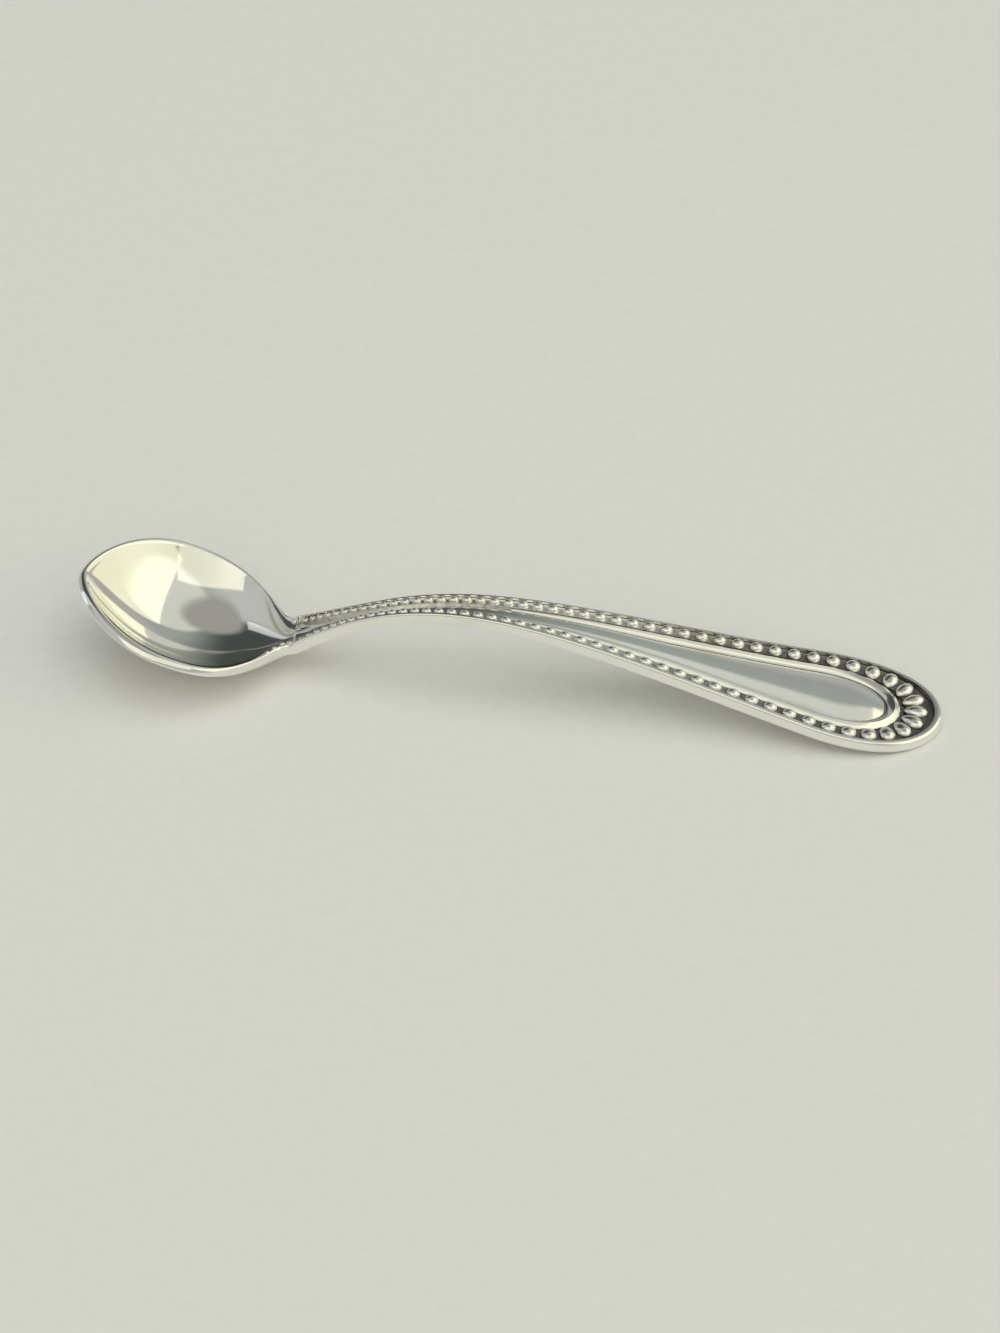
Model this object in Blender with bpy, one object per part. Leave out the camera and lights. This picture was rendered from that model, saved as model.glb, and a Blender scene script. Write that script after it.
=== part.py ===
"""Salt spoon in silver: an egg-shaped bowl soldered to an arched handle with a beaded border.

The spoon lies on the table, z = 0, on a small flat under the bowl and on the underside of the
handle's end. X runs along the spoon, with the bowl at -X, and the spoon is symmetric about y = 0.
"""

import math

import bmesh
import bpy
import numpy as np
from mathutils import Vector
from mathutils.geometry import interpolate_bezier

MM = 0.001

# Bowl, seen from above and measured along its rim from the joint with the handle towards the tip
BOWL_WIDTH = 13.3 * MM
BOWL_WIDEST = 9.2 * MM
BOWL_PIT = 8.4 * MM
BOWL_DEPTH = 4.05 * MM
BOWL_WALL = 0.8 * MM
RIM_WIDTH = 0.6 * MM
RIM_EDGE = 0.25 * MM
RIM_ROUND = 0.15 * MM
RIM_CREST = 0.25 * MM
CREST_INSET = 0.42 * MM
ROOT_SILL = 0.25 * MM
ROOT_BLEND = 8.0 * MM
SHOULDER_RUN = 3.2 * MM
SHOULDER_SINK = 0.3 * MM
SHOULDER_SHARE = 0.82
SHOULDER_POWER = 2.6
TIP_POWER = 0.65

# Bowl, seen from the side: the rim dips after the joint and then climbs to the tip
BOWL_REACH = 16.25 * MM
BOWL_TIP_RISE = 3.7 * MM
BOWL_TIP_SLOPE = math.radians(11)
BOWL_TIP_PULL = 8.1 * MM
DIP_PULL = 3.0 * MM

# Handle, seen from above
HANDLE_LENGTH = 48.7 * MM
ROOT_WIDTH = 3.3 * MM
NECK_WIDTH = 2.02 * MM
NECK_REACH = 6.5 * MM
END_WIDTH = 8.6 * MM
END_ROUND = 10.0 * MM
TAPER_POWER = 1.46

# Handle, seen from the side: it leaves the bowl at an angle, arches over a crown and runs down to its end
ROOT_RISE = math.radians(29.5)
ROOT_PULL = 5.0 * MM
CROWN_REACH = 13.5 * MM
CROWN_HEIGHT = 7.3 * MM
CROWN_PULL_BACK = 5.5 * MM
CROWN_PULL_AHEAD = 9.7 * MM
TIP_PULL = 9.4 * MM

# Handle plate: a sunk face for the border, a domed panel inside it and a belly under the neck
FACE_DROP = 0.42 * MM
PANEL_RISE = 0.36 * MM
PANEL_END_FALL = 2.4 * MM
NECK_BELLY = 0.45 * MM

# Edge band: a strip on edge around the plate, rounded on its outside
BAND_HEIGHT = 0.95 * MM
BAND_ROUND = 0.12 * MM
BAND_ROOT = 0.2 * MM
BAND_SIDE = 0.36 * MM
BAND_END = 0.6 * MM

# Bead strip: a thin strip with a row of domes that grow from the bowl towards the handle's end,
# where they stand in a groove and are longer than they are wide
PITCH_END = 1.15 * MM
PITCH_END_RUN = 5.0 * MM
PITCH_SIDE = 1.6 * MM
PITCH_ROOT = 0.62 * MM
PITCH_POWER = 1.5
BEAD_ROOT_WIDTH = 0.42 * MM
BEAD_SIDE_WIDTH = 0.95 * MM
BEAD_END_WIDTH = 1.9 * MM
BEAD_RISE = 0.5 * MM
STRIP_WEB = 0.07 * MM
GROOVE_END = 0.35 * MM

# Thread: a half-round wire between the beads and the panel
THREAD_WIDTH = 0.75 * MM
THREAD_END_WIDTH = 1.4 * MM
THREAD_TAIL_WIDTH = 0.22 * MM
THREAD_TAIL_RUN = 12.0 * MM
THREAD_RISE = 0.36 * MM
THREAD_START = 17.0 * MM

# Fits
SOLDER_GAP = 0.05 * MM
REST_FLAT = 0.06 * MM

# Mesh density
BOWL_SEGMENTS = 48
BACK_RINGS = 8
FACE_RINGS = 7
RIM_STEPS = (0.4, 1.0, 2.0)
SPINE_SAMPLES = 160
PLATE_ROWS = 60
PLATE_COLUMNS = 16
PANEL_COLUMNS = 0.75
BAND_ROWS = 96
THREAD_ROWS = 80
ROWS_PER_BEAD = 3
ROUND_SHARE = 0.3


def clear_scene():
    for obj in list(bpy.data.objects):
        bpy.data.objects.remove(obj, do_unlink=True)


def silver(name, colour, roughness):
    material = bpy.data.materials.new(name)
    material.use_nodes = True
    shader = material.node_tree.nodes["Principled BSDF"]
    shader.inputs["Base Color"].default_value = (*colour, 1.0)
    shader.inputs["Metallic"].default_value = 1.0
    shader.inputs["Roughness"].default_value = roughness
    return material


def add_object(name, bm, material):
    """Makes an object of the bmesh at the joint, in the spoon's collection and on its empty."""
    bmesh.ops.remove_doubles(bm, verts=bm.verts, dist=1e-7)
    bmesh.ops.recalc_face_normals(bm, faces=bm.faces)
    mesh = bpy.data.meshes.new(name)
    bm.to_mesh(mesh)
    bm.free()
    mesh.shade_smooth()
    mesh.set_sharp_from_angle(angle=math.radians(40))
    mesh.materials.append(material)
    obj = bpy.data.objects.new(name, mesh)
    obj.location = JOINT
    obj.parent = spoon
    collection.objects.link(obj)
    return obj


def slice_off(bm, point, normal):
    """Cuts away what lies on the normal's side of a plane and closes the cut."""
    geometry = bm.verts[:] + bm.edges[:] + bm.faces[:]
    cut = bmesh.ops.bisect_plane(
        bm, geom=geometry, dist=1e-8, plane_co=point, plane_no=normal, clear_outer=True
    )
    edges = [e for e in cut["geom_cut"] if isinstance(e, bmesh.types.BMEdge)]
    bmesh.ops.holes_fill(bm, edges=edges, sides=0)


class Spine:
    """A line in side view, (x, z) from the joint, that a piece is laid along."""

    def __init__(self, *curves):
        points = [p for curve in curves for p in interpolate_bezier(*curve, SPINE_SAMPLES)]
        kept = [points[0]] + [p for q, p in zip(points, points[1:]) if (p - q).length > 1e-7]
        self.points = np.array(kept)[:, [0, 2]]
        steps = np.hypot(*np.diff(self.points, axis=0).T)
        self.runs = np.concatenate([[0.0], np.cumsum(steps)])
        self.ahead = np.gradient(self.points, self.runs, axis=0)
        self.length = self.runs[-1]

    def at(self, run, across, height):
        """The point at a run along the line, across it, and a height above it."""
        x, z = (np.interp(run, self.runs, self.points[:, i]) for i in (0, 1))
        ahead_x, ahead_z = (np.interp(run, self.runs, self.ahead[:, i]) for i in (0, 1))
        climb = math.copysign(height / math.hypot(ahead_x, ahead_z), ahead_x * height)
        return Vector((x - climb * ahead_z, across, z + climb * ahead_x))


AHEAD = Vector((1.0, 0.0, 0.0))
LEAVE = Vector((math.cos(ROOT_RISE), 0.0, math.sin(ROOT_RISE)))
BOWL_TIP = Vector((-BOWL_REACH, 0.0, BOWL_TIP_RISE))
BOWL_CLIMB = Vector((-math.cos(BOWL_TIP_SLOPE), 0.0, math.sin(BOWL_TIP_SLOPE)))
RIM = Spine((Vector(), -DIP_PULL * LEAVE, BOWL_TIP - BOWL_TIP_PULL * BOWL_CLIMB, BOWL_TIP))


def bowl_half_width(run):
    """Half the width of the bowl's outline, a given run from the joint."""
    half = BOWL_WIDTH / 2
    if run >= BOWL_WIDEST:
        share = min(1.0, (run - BOWL_WIDEST) / (RIM.length - BOWL_WIDEST))
        return half * (1 - share**2) ** TIP_POWER
    share = (BOWL_WIDEST - run) / BOWL_WIDEST
    shoulder = half * (1 - share**SHOULDER_POWER)
    return (shoulder**5 + (ROOT_WIDTH / 2) ** 5) ** (1 / 5)


def bowl_edge(run):
    """The height of the bowl's outer edge, which grows to the band's height at the joint."""
    return RIM_EDGE + (BAND_HEIGHT - RIM_EDGE) * max(0.0, 1 - run / ROOT_BLEND) ** 2


def keel(run, root, pit, length):
    """A depth that grows from the joint to the pit and ends at the tip."""
    if run < BOWL_PIT:
        return root + (pit - root) * (1 - (1 - run / BOWL_PIT) ** 2)
    return pit * max(0.0, 1 - ((run - BOWL_PIT) / (length - BOWL_PIT)) ** 2)


def shoulder(run):
    """1 at the joint, falling to 0 where the bowl's two shoulders end."""
    return max(0.0, 1 - run / SHOULDER_RUN) ** 1.5


def rim_width(run):
    """The rim widens into the shoulders and leaves a narrow channel between them."""
    return RIM_WIDTH + (SHOULDER_SHARE * ROOT_WIDTH / 2 - RIM_WIDTH) * shoulder(run)


def rim_crest(run):
    """The height of the rim's crest, which comes down to the band's top at the joint."""
    return RIM_CREST * min(1.0, run / SHOULDER_RUN)


def crest_inset(run):
    """From the bowl's outline to the rim's crest."""
    return BAND_ROOT + (CREST_INSET - BAND_ROOT) * min(1.0, run / SHOULDER_RUN)


def inner_edge(run):
    """The height of the rim's inner edge, which is sunk on the shoulders."""
    return 0.7 * rim_crest(run) - SHOULDER_SINK * shoulder(run)


def inner_half_width(run):
    """Half the width of the bowl's inside at the rim."""
    outer = bowl_half_width(run * RIM.length / (RIM.length - RIM_WIDTH))
    return outer - rim_width(run) * (2 * outer / BOWL_WIDTH if run > BOWL_WIDEST else 1.0)


def back_height(run, across):
    """The underside of the bowl, which meets the underside of the handle at the joint."""
    edge = bowl_edge(run)
    share = across / max(bowl_half_width(run), 1e-9)
    return -edge - keel(run, NECK_BELLY, BOWL_DEPTH - RIM_EDGE, RIM.length) * max(0.0, 1 - share**2)


def face_height(run, across):
    """The inside of the bowl, which meets the sunk face of the handle at the joint."""
    share = across / max(inner_half_width(run), 1e-9)
    pit = BOWL_DEPTH - BOWL_WALL + inner_edge(BOWL_PIT)
    depth = keel(run, FACE_DROP - SHOULDER_SINK, pit, RIM.length - RIM_WIDTH)
    return inner_edge(run) - depth * max(0.0, 1 - share**2)


def rim_point(turn, start, length, half_width):
    """(run, across) on an outline: turn is 0 at the joint, 1 at the tip and negative on the -y side."""
    root_share = 0.06
    away = abs(turn)
    if away < root_share:
        return start, half_width(start) * turn / root_share
    swing = math.pi * (away - root_share) / (1 - root_share)
    run = start + (length - start) * (1 - math.cos(swing)) / 2
    return run, math.copysign(half_width(run), turn)


def from_pit(share, point):
    """A point on the straight line from the pit to a point of the rim."""
    run, across = point
    return BOWL_PIT + share * (run - BOWL_PIT), share * across


def bowl_point(turn, ring):
    """A vertex of the bowl: the rings run from the pit's underside, over the edge, to the pit's inside."""
    outer = rim_point(turn, 0.0, RIM.length, bowl_half_width)
    if ring < BACK_RINGS:
        run, across = from_pit(ring / BACK_RINGS, outer)
        return RIM.at(run, across, back_height(run, across))
    run, across = outer
    if ring == BACK_RINGS:
        deep = NECK_BELLY * (1 - (2 * across / ROOT_WIDTH) ** 2) if run == 0.0 else 0.0
        return RIM.at(run, across, -bowl_edge(run) - deep)
    inner = rim_point(turn, ROOT_SILL, RIM.length - RIM_WIDTH, inner_half_width)
    rim_ring = ring - BACK_RINGS - 1
    if rim_ring < len(RIM_STEPS):
        return RIM.at(*over_rim(outer, inner, RIM_STEPS[rim_ring - 1] if rim_ring else 0.0))
    run, across = from_pit(1 - (rim_ring - len(RIM_STEPS)) / FACE_RINGS, inner)
    return RIM.at(run, across, face_height(run, across))


def over_rim(outer, inner, step):
    """(run, across, height) on the rim: step is 0 at its outer edge, 1 on its crest and 2 at its inner edge."""
    run, across = outer
    outer_height = face_height(run, across) if run == 0.0 else -RIM_ROUND
    inner_height = face_height(*inner)
    crest_share = crest_inset(run) / rim_width(run)
    share = step * crest_share if step < 1 else crest_share + (step - 1) * (1 - crest_share)
    if run == 0.0:
        height = outer_height + share * (inner_height - outer_height)
    elif step < 1:
        height = rim_crest(run) - (rim_crest(run) - outer_height) * (1 - step) ** 2
    else:
        height = rim_crest(run) + (inner_height - rim_crest(run)) * (step - 1) ** 2
    return run + share * (inner[0] - run), across + share * (inner[1] - across), height


def bowl_drop():
    """How far the bowl's underside lies below the joint."""
    runs = np.linspace(0, RIM.length, 200)
    return -min(RIM.at(run, 0.0, back_height(run, 0.0)).z for run in runs)


# The bowl's underside is set on the table, and the spoon is centred over the origin.
JOINT = Vector(((BOWL_REACH - HANDLE_LENGTH) / 2, 0.0, bowl_drop() - REST_FLAT))
CROWN = Vector((CROWN_REACH, 0.0, CROWN_HEIGHT - JOINT.z))
END = Vector((HANDLE_LENGTH, 0.0, BAND_HEIGHT - REST_FLAT - JOINT.z))
TOP = Spine(
    (Vector(), ROOT_PULL * LEAVE, CROWN - CROWN_PULL_BACK * AHEAD, CROWN),
    (CROWN, CROWN + CROWN_PULL_AHEAD * AHEAD, END - TIP_PULL * AHEAD, END),
)
HANDLE_RUN = TOP.length
END_START = HANDLE_RUN - END_ROUND


def taper(run):
    """Half the handle's width before its end is rounded."""
    if run < NECK_REACH:
        return (NECK_WIDTH + (ROOT_WIDTH - NECK_WIDTH) * (1 - run / NECK_REACH) ** 2) / 2
    share = (run - NECK_REACH) / (END_START - NECK_REACH)
    return (NECK_WIDTH + (END_WIDTH - NECK_WIDTH) * share**TAPER_POWER) / 2


def border_point(turn, side_inset, end_inset, start=SOLDER_GAP):
    """A point of a line that follows the handle's outline at an inset.

    turn runs from -1 at the bowl on the -y side, through 0 at the end, to 1 at the bowl on the +y side.
    """
    away = abs(turn)
    if away < ROUND_SHARE:
        swing = math.pi / 2 * away / ROUND_SHARE
        run = END_START + (END_ROUND - end_inset) * math.cos(swing)
        width = math.sin(swing)
    else:
        run = END_START + (start - END_START) * (away - ROUND_SHARE) / (1 - ROUND_SHARE)
        width = 1.0
    return run, math.copysign(max(0.0, taper(run) - side_inset(run)) * width, turn)


def band_thickness(run):
    return BAND_ROOT + (BAND_SIDE - BAND_ROOT) * min(1.0, run / END_START)


def bead_width(run):
    return BEAD_ROOT_WIDTH + (BEAD_SIDE_WIDTH - BEAD_ROOT_WIDTH) * min(1.0, run / END_START)


def thread_width(run):
    share = min(1.0, max(0.0, run - THREAD_START) / THREAD_TAIL_RUN)
    return THREAD_TAIL_WIDTH + (THREAD_WIDTH - THREAD_TAIL_WIDTH) * share


def plate_inset(run):
    return band_thickness(run) + SOLDER_GAP


def bead_inset(run):
    """From the handle's outline to the middle of the bead strip."""
    return plate_inset(run) + bead_width(run) / 2


def thread_inset(run):
    """From the handle's outline to the middle of the thread."""
    return bead_inset(run) + bead_width(run) / 2 + SOLDER_GAP + thread_width(run) / 2


def panel_inset(run):
    return thread_inset(run) + thread_width(run) / 2


BEAD_END_INSET = BAND_END + GROOVE_END + BEAD_END_WIDTH / 2
THREAD_END_INSET = BEAD_END_INSET + BEAD_END_WIDTH / 2 + SOLDER_GAP + THREAD_END_WIDTH / 2
PANEL_END_INSET = THREAD_END_INSET + THREAD_END_WIDTH / 2


def end_blend(run, side, end):
    """A width that swells from its value along the sides to its value at the handle's end."""
    share = max(0.0, run - END_START) / END_ROUND
    return side + (end - side) * share**2


class Border:
    """A line around the handle, measured along its own length from the handle's end."""

    def __init__(self, side_inset, end_inset, start=SOLDER_GAP):
        turns = np.linspace(0, 1, 600)
        self.points = np.array([border_point(t, side_inset, end_inset, start) for t in turns])
        steps = np.hypot(*np.diff(self.points, axis=0).T)
        self.ways = np.concatenate([[0.0], np.cumsum(steps)])
        self.ahead = np.gradient(self.points, self.ways, axis=0)
        self.length = self.ways[-1]

    def at(self, way, offset):
        """(run, across) at a signed way from the end, moved outwards by offset."""
        run, across = (np.interp(abs(way), self.ways, self.points[:, i]) for i in (0, 1))
        run_ahead, across_ahead = (np.interp(abs(way), self.ways, self.ahead[:, i]) for i in (0, 1))
        length = math.hypot(run_ahead, across_ahead)
        run += offset * across_ahead / length
        across -= offset * run_ahead / length
        return max(0.0, run), math.copysign(max(0.0, across), way) if way else across

    def run(self, way):
        return float(np.interp(abs(way), self.ways, self.points[:, 0]))


def bead_bounds(length):
    """Where each bead of one side ends, counted from the middle of the bead at the handle's end."""
    bounds = []
    way = PITCH_END / 2
    while way < length:
        bounds.append(way)
        closer_at_end = (PITCH_SIDE - PITCH_END) * max(0.0, 1 - way / PITCH_END_RUN)
        closer_at_root = (PITCH_SIDE - PITCH_ROOT) * (way / length) ** PITCH_POWER
        way += PITCH_SIDE - closer_at_end - closer_at_root
    return bounds


def rest_on_table(bm):
    """Cuts a piece level with the table."""
    slice_off(bm, Vector((0.0, 0.0, -JOINT.z)), Vector((0.0, 0.0, -1.0)))


def make_bowl(material):
    """A ball whose upper half is pushed down into the lower one."""
    rings = BACK_RINGS + 1 + len(RIM_STEPS) + FACE_RINGS
    bm = bmesh.new()
    bmesh.ops.create_uvsphere(bm, u_segments=BOWL_SEGMENTS, v_segments=rings, radius=1.0)
    for vert in bm.verts:
        ring = round(rings * (1 - math.acos(max(-1.0, min(1.0, vert.co.z))) / math.pi))
        vert.co = bowl_point(math.atan2(vert.co.y, vert.co.x) / math.pi, ring)
    rest_on_table(bm)
    return add_object("bowl", bm, material)


def make_handle(material):
    """The plate inside the band: a sheet of rows and columns with its back pulled down from it."""
    bm = bmesh.new()
    bmesh.ops.create_grid(bm, x_segments=PLATE_ROWS, y_segments=PLATE_COLUMNS, size=0.5)
    face = set(bm.verts)
    bmesh.ops.extrude_face_region(bm, geom=bm.faces[:])
    for vert in bm.verts:
        turn, share = 0.5 - vert.co.x, 2 * vert.co.y
        run, edge = border_point(turn, plate_inset, BAND_END + SOLDER_GAP)
        across = column_across(run, share, edge)
        if vert in face:
            height = -FACE_DROP + panel_height(run, across)
        else:
            belly = NECK_BELLY * (1 - run / HANDLE_RUN)
            height = -BAND_HEIGHT - belly * (1 - (across / max(edge, 1e-9)) ** 2)
        vert.co = TOP.at(run, across, height)
    rest_on_table(bm)
    return add_object("handle", bm, material)


def panel_half_width(run):
    """Half the width of the panel inside the thread, which follows the handle's rounded end."""
    half_width = taper(run) - panel_inset(run)
    if run > END_START:
        share = (run - END_START) / (END_ROUND - PANEL_END_INSET)
        half_width *= max(0.0, 1 - share**2) ** 0.5
    return max(0.0, half_width)


def column_across(run, share, edge):
    """Where a column of the plate lies: most of them gather on the panel, so that its edge is clean."""
    panel = max(panel_half_width(run), 0.15 * edge)
    if abs(share) < PANEL_COLUMNS:
        return panel * share / PANEL_COLUMNS
    beyond = (abs(share) - PANEL_COLUMNS) / (1 - PANEL_COLUMNS)
    return math.copysign(panel + beyond * (edge - panel), share)


def panel_height(run, across):
    """How far the panel's dome stands above the sunk face, in proportion to its width."""
    half_width = panel_half_width(run)
    if abs(across) >= half_width:
        return 0.0
    side_width = panel_half_width(min(run, END_START))
    rise = PANEL_RISE * side_width / panel_half_width(END_START)
    fall = max(0.0, 1 - (HANDLE_RUN - PANEL_END_INSET - run) / PANEL_END_FALL)
    return rise * (1 - fall**2) * (1 - (across / half_width) ** 2)


def cut_lengthwise(bm, axis, rows):
    """Cuts the edges along an axis into rows."""
    long_edges = [e for e in bm.edges if abs((e.verts[0].co - e.verts[1].co)[axis]) > 0.5]
    bmesh.ops.subdivide_edges(bm, edges=long_edges, cuts=rows - 1)


def eight_sided_bar(rows):
    """A bar with eight sides, of unit length along z."""
    bm = bmesh.new()
    bmesh.ops.create_cone(bm, cap_ends=True, segments=8, radius1=1.0, radius2=1.0, depth=1.0)
    cut_lengthwise(bm, 2, rows)
    return bm


def band_section(vert):
    """(inset as a share of the thickness, height) of a bar's vertex in the band's section."""
    inset = 1.0 if vert.co.x < -0.1 else 0.0
    if abs(vert.co.y) < 0.1:
        return inset, -BAND_HEIGHT / 2
    if vert.co.y < 0:
        return (0.5 if abs(vert.co.x) < 0.1 else inset), -BAND_HEIGHT
    if vert.co.x > 0.1:
        return 0.2, -BAND_ROUND
    return max(inset, 0.65), 0.0


def make_edge_band(material):
    """A bar bent around the plate on edge, flat towards the plate and round on the outside."""
    bm = eight_sided_bar(BAND_ROWS)
    for vert in bm.verts:
        inset, height = band_section(vert)
        run, across = border_point(
            2 * vert.co.z, lambda run: inset * band_thickness(run), inset * BAND_END
        )
        vert.co = TOP.at(run, across, height)
    rest_on_table(bm)
    return add_object("edge_band", bm, material)


def half_round(vert):
    """(across, rise) of a bar's vertex in a half-round section, with rise -1 on its flat back."""
    if vert.co.y > -0.1:
        return vert.co.x, max(0.0, vert.co.y)
    return (math.copysign(1.0, vert.co.x) if abs(vert.co.x) > 0.1 else 0.0), -1.0


def make_bead_strip(material):
    """A thin strip laid around the plate inside the band, with a dome between each two bounds.

    The domes are lower where the strip is narrower.
    """
    row = Border(bead_inset, BEAD_END_INSET)
    bounds = bead_bounds(row.length - SOLDER_GAP)
    bounds = [-way for way in reversed(bounds)] + bounds
    bm = eight_sided_bar(ROWS_PER_BEAD * (len(bounds) - 1))
    for vert in bm.verts:
        step = (vert.co.z + 0.5) * (len(bounds) - 1)
        bead = min(int(step + 1e-4), len(bounds) - 2)
        share = step - bead
        way = bounds[bead] + share * (bounds[bead + 1] - bounds[bead])
        across, rise = half_round(vert)
        run = row.run(way)
        half = end_blend(run, bead_width(run), BEAD_END_WIDTH) / 2
        height = -FACE_DROP + SOLDER_GAP
        if rise >= 0:
            dome = max(0.0, 1 - across**2 - (2 * share - 1) ** 2) ** 0.5
            height += STRIP_WEB + BEAD_RISE * dome * bead_width(run) / BEAD_SIDE_WIDTH
        vert.co = TOP.at(*row.at(way, across * half), height)
    return add_object("bead_strip", bm, material)


def make_thread(material):
    """The half-round wire between the bead strip and the panel, which thins out towards the bowl."""
    row = Border(thread_inset, THREAD_END_INSET, THREAD_START)
    bm = eight_sided_bar(THREAD_ROWS)
    for vert in bm.verts:
        way = 2 * vert.co.z * row.length
        across, rise = half_round(vert)
        run = row.run(way)
        half = end_blend(run, thread_width(run), THREAD_END_WIDTH) / 2
        height = -FACE_DROP + SOLDER_GAP
        if rise >= 0:
            height += STRIP_WEB + (THREAD_RISE - STRIP_WEB) * rise * thread_width(run) / THREAD_WIDTH
        vert.co = TOP.at(*row.at(way, across * half), height)
    return add_object("thread", bm, material)


clear_scene()
collection = bpy.data.collections.new("salt_spoon")
bpy.context.scene.collection.children.link(collection)
spoon = bpy.data.objects.new("salt_spoon_origin", None)
collection.objects.link(spoon)
make_bowl(silver("bowl_silver", (0.93, 0.92, 0.88), 0.12))
make_handle(silver("handle_silver", (0.82, 0.82, 0.79), 0.18))
make_edge_band(silver("edge_band_silver", (0.95, 0.94, 0.9), 0.15))
make_bead_strip(silver("bead_strip_silver", (0.7, 0.69, 0.66), 0.2))
make_thread(silver("thread_silver", (0.9, 0.89, 0.85), 0.16))
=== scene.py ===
"""A silver salt spoon with a bead border, lying on a pale table in soft studio light."""

import math

import bmesh
import bpy
import numpy as np
from mathutils import Matrix, Vector
from mathutils.geometry import interpolate_bezier


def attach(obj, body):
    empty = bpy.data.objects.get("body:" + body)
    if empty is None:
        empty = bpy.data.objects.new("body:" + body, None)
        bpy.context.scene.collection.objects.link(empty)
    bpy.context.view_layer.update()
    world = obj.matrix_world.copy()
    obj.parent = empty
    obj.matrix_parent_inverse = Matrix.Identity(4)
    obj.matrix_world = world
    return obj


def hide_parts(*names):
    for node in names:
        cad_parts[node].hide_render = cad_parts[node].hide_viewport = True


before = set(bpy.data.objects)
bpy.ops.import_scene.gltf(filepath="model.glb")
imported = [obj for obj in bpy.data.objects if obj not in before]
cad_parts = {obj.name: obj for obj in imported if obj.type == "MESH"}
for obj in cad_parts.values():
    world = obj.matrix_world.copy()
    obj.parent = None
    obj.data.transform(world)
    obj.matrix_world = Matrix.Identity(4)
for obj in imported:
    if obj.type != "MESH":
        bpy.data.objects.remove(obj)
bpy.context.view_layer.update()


# Bowl
# An egg-shaped bowl raised from thin silver sheet, with a rim that polishing has rounded off.
# Its root narrows to the width of the handle, and silver solder joins the two there.

MM = 0.001

BOWL_WIDTH = 13.3 * MM
BOWL_WIDEST = 9.2 * MM
BOWL_PIT = 8.4 * MM
BOWL_DEPTH = 4.05 * MM
BOWL_WALL = 0.8 * MM
BOWL_REACH = 16.25 * MM
BOWL_TIP_RISE = 3.7 * MM
BOWL_TIP_SLOPE = math.radians(11)
BOWL_TIP_PULL = 8.1 * MM
DIP_PULL = 3.0 * MM
TIP_POWER = 0.65
RIM_WIDTH = 0.6 * MM
RIM_EDGE = 0.25 * MM
RIM_ROUND = 0.15 * MM
RIM_CREST = 0.25 * MM
CREST_INSET = 0.42 * MM
ROOT_SILL = 0.25 * MM
ROOT_BLEND = 8.0 * MM
ROOT_WIDTH = 3.3 * MM
ROOT_RISE = math.radians(29.5)
ROOT_TURN = 0.06
ROOT_BLEND_POWER = 5
SHOULDER_RUN = 3.2 * MM
SHOULDER_SINK = 0.3 * MM
SHOULDER_SHARE = 0.82
SHOULDER_POWER = 2.6
SHOULDER_FADE = 1.5
SHOULDER_TARNISH = 0.6
SUNK_POWER = 6
INNER_EDGE_SHARE = 0.7
BAND_HEIGHT = 0.95 * MM
BAND_ROOT = 0.2 * MM
FACE_DROP = 0.42 * MM
NECK_BELLY = 0.45 * MM
REST_FLAT = 0.06 * MM
HANDLE_LENGTH = 48.7 * MM
BOWL_SEGMENTS, BACK_RINGS, FACE_RINGS = 256, 36, 48
CURVE_POINTS, KEEL_POINTS = 400, 200
SAME_POINT, ON_PLANE, NOT_ZERO = 1e-7, 1e-8, 1e-9
SHARP_EDGE = math.radians(40)
RIM_STEPS = (0.1, 0.2, 0.35, 0.5, 0.65, 0.8, 0.9, 1.0, 1.15, 1.3, 1.45, 1.6, 1.8, 2.0)


class SideLine:
    """A line in side view, measured from the solder joint, that a piece is laid along."""

    def __init__(self, *curves):
        points = [p for curve in curves for p in interpolate_bezier(*curve, CURVE_POINTS)]
        pairs = zip(points, points[1:])
        kept = [points[0]] + [after for before, after in pairs if (after - before).length > SAME_POINT]
        self.points = np.array(kept)[:, [0, 2]]
        steps = np.hypot(*np.diff(self.points, axis=0).T)
        self.runs = np.concatenate([[0.0], np.cumsum(steps)])
        self.ahead = np.gradient(self.points, self.runs, axis=0)
        self.length = self.runs[-1]

    def at(self, run, across, height):
        """The point at a run along the line, across it, and a height above it."""
        x, z = (np.interp(run, self.runs, self.points[:, i]) for i in (0, 1))
        ahead_x, ahead_z = (np.interp(run, self.runs, self.ahead[:, i]) for i in (0, 1))
        climb = math.copysign(height / math.hypot(ahead_x, ahead_z), ahead_x * height)
        return Vector((x - climb * ahead_z, across, z + climb * ahead_x))


leave = Vector((math.cos(ROOT_RISE), 0.0, math.sin(ROOT_RISE)))
bowl_tip = Vector((-BOWL_REACH, 0.0, BOWL_TIP_RISE))
bowl_climb = Vector((-math.cos(BOWL_TIP_SLOPE), 0.0, math.sin(BOWL_TIP_SLOPE)))
rim_line = SideLine((Vector(), -DIP_PULL * leave, bowl_tip - BOWL_TIP_PULL * bowl_climb, bowl_tip))


def bowl_half_width(run):
    half = BOWL_WIDTH / 2
    if run >= BOWL_WIDEST:
        share = min(1.0, (run - BOWL_WIDEST) / (rim_line.length - BOWL_WIDEST))
        return half * (1 - share**2) ** TIP_POWER
    share = (BOWL_WIDEST - run) / BOWL_WIDEST
    narrowing = half * (1 - share**SHOULDER_POWER)
    return (narrowing**ROOT_BLEND_POWER + (ROOT_WIDTH / 2) ** ROOT_BLEND_POWER) ** (1 / ROOT_BLEND_POWER)


def bowl_edge(run):
    """The depth of the outer edge, which grows to the handle's thickness at the joint."""
    return RIM_EDGE + (BAND_HEIGHT - RIM_EDGE) * max(0.0, 1 - run / ROOT_BLEND) ** 2


def shoulder(run):
    """1 at the joint, falling to 0 where the bowl's two shoulders end."""
    return max(0.0, 1 - run / SHOULDER_RUN) ** SHOULDER_FADE


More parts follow.
